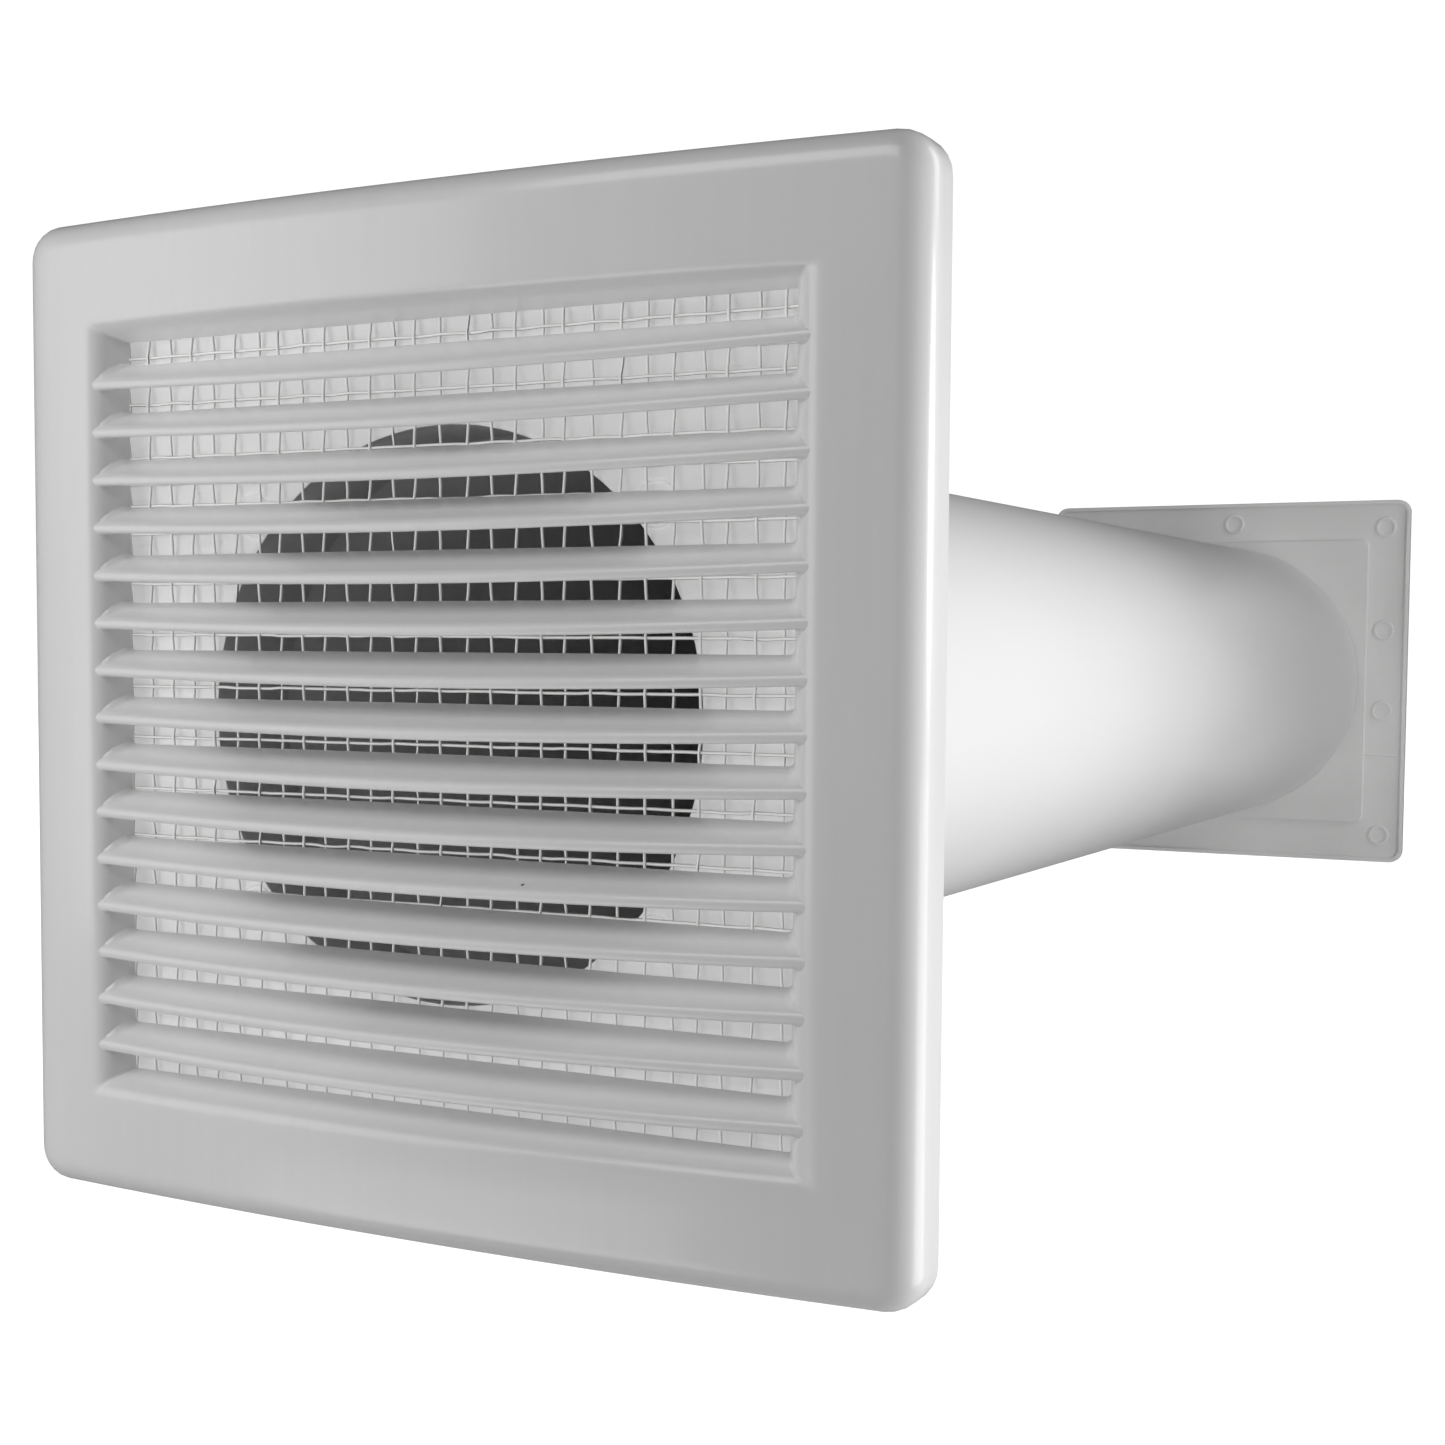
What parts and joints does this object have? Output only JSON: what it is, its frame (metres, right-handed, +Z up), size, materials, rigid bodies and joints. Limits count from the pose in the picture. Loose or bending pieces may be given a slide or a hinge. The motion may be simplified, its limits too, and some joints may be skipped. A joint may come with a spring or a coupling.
{
  "type": "through-wall bathroom extractor fan",
  "caption": "Through-wall extractor fan: a louvred outside grille with insect mesh, a round duct pipe, backdraught flaps, and a motor fan behind a slotted bathroom cover.",
  "frame": {"origin": "centre of the wall opening, on the outer wall face, on the duct axis", "axes": "+X right seen from outdoors, +Y through the wall into the bathroom, +Z up"},
  "size_m": [0.186, 0.626, 0.186],
  "materials": {
    "white_gloss": "satin-gloss moulded white plastic with faint streaks",
    "mesh_wire": "white coated woven wire",
    "pipe_white": "smooth extruded white pipe",
    "base_plastic": "fine-grained moulded white plastic",
    "inner_plastic": "plain moulded off-white plastic",
    "impeller_plastic": "moulded light grey plastic",
    "dark_plastic": "moulded dark grey plastic",
    "foam": "closed-cell foam",
    "rubber": "moulded black rubber",
    "steel": "zinc-plated steel",
    "laminations": "stacked electrical steel with fine edge lines",
    "bronze": "sintered bronze",
    "brass": "plain brass",
    "copper_enamel": "enamelled copper wire",
    "lead_brown": "brown wire insulation",
    "lead_blue": "blue wire insulation"
  },
  "bodies": {
    "root": {"bearing_front": "bronze", "bearing_rear": "bronze", "cable_clamp": "inner_plastic", "cable_grommet": "rubber", "clamp_screw_1": "steel", "clamp_screw_2": "steel", "damper_frame": "dark_plastic", "damper_pin": "steel", "damper_spring": "steel", "fan_base_plate": "base_plastic", "motor_carrier": "inner_plastic", "motor_cover": "inner_plastic", "motor_lead_live": "lead_brown", "motor_lead_neutral": "lead_blue", "motor_screw_1": "steel", "motor_screw_2": "steel", "motor_screw_3": "steel", "outer_flange_plate": "white_gloss", "outer_gasket": "foam", "spigot_seal": "rubber", "stator_coil_1": "copper_enamel", "stator_coil_2": "copper_enamel", "stator_coil_3": "copper_enamel", "stator_coil_4": "copper_enamel", "stator_core": "laminations", "terminal_block": "inner_plastic", "terminal_screw_1": "brass", "terminal_screw_2": "brass", "terminal_screw_3": "brass", "wall_sleeve": "pipe_white"},
    "outside_grille": {"outer_grille": "white_gloss", "insect_mesh": "mesh_wire"},
    "impeller": {"impeller": "impeller_plastic", "impeller_clip": "steel", "motor_shaft": "steel", "rotor_core": "laminations"},
    "left_flap": {"damper_flap_left": "inner_plastic"},
    "right_flap": {"damper_flap_right": "inner_plastic"},
    "cover": {"room_cover": "white_gloss"}
  },
  "joints": [
    {"name": "grille_pull_off", "type": "slide", "parent": "root", "child": "outside_grille", "axis": [0, -1, 0], "range_m": [0, 0.06]},
    {"name": "cover_pull_off", "type": "slide", "parent": "root", "child": "cover", "axis": [0, 1, 0], "range_m": [0, 0.06]},
    {"name": "impeller_spin", "type": "hinge", "parent": "root", "child": "impeller", "pos_m": [0, 0.556, 0], "axis": [0, 1, 0], "continuous": true},
    {"name": "left_flap_swing", "type": "hinge", "parent": "root", "child": "left_flap", "pos_m": [0, 0.4924, 0], "axis": [0, 0, 1], "range_deg": [0, 75], "stiffness_Nm_per_rad": 0.0015},
    {"name": "right_flap_swing", "type": "hinge", "parent": "root", "child": "right_flap", "pos_m": [0, 0.4924, 0], "axis": [0, 0, -1], "range_deg": [0, 75], "stiffness_Nm_per_rad": 0.0015}
  ]
}
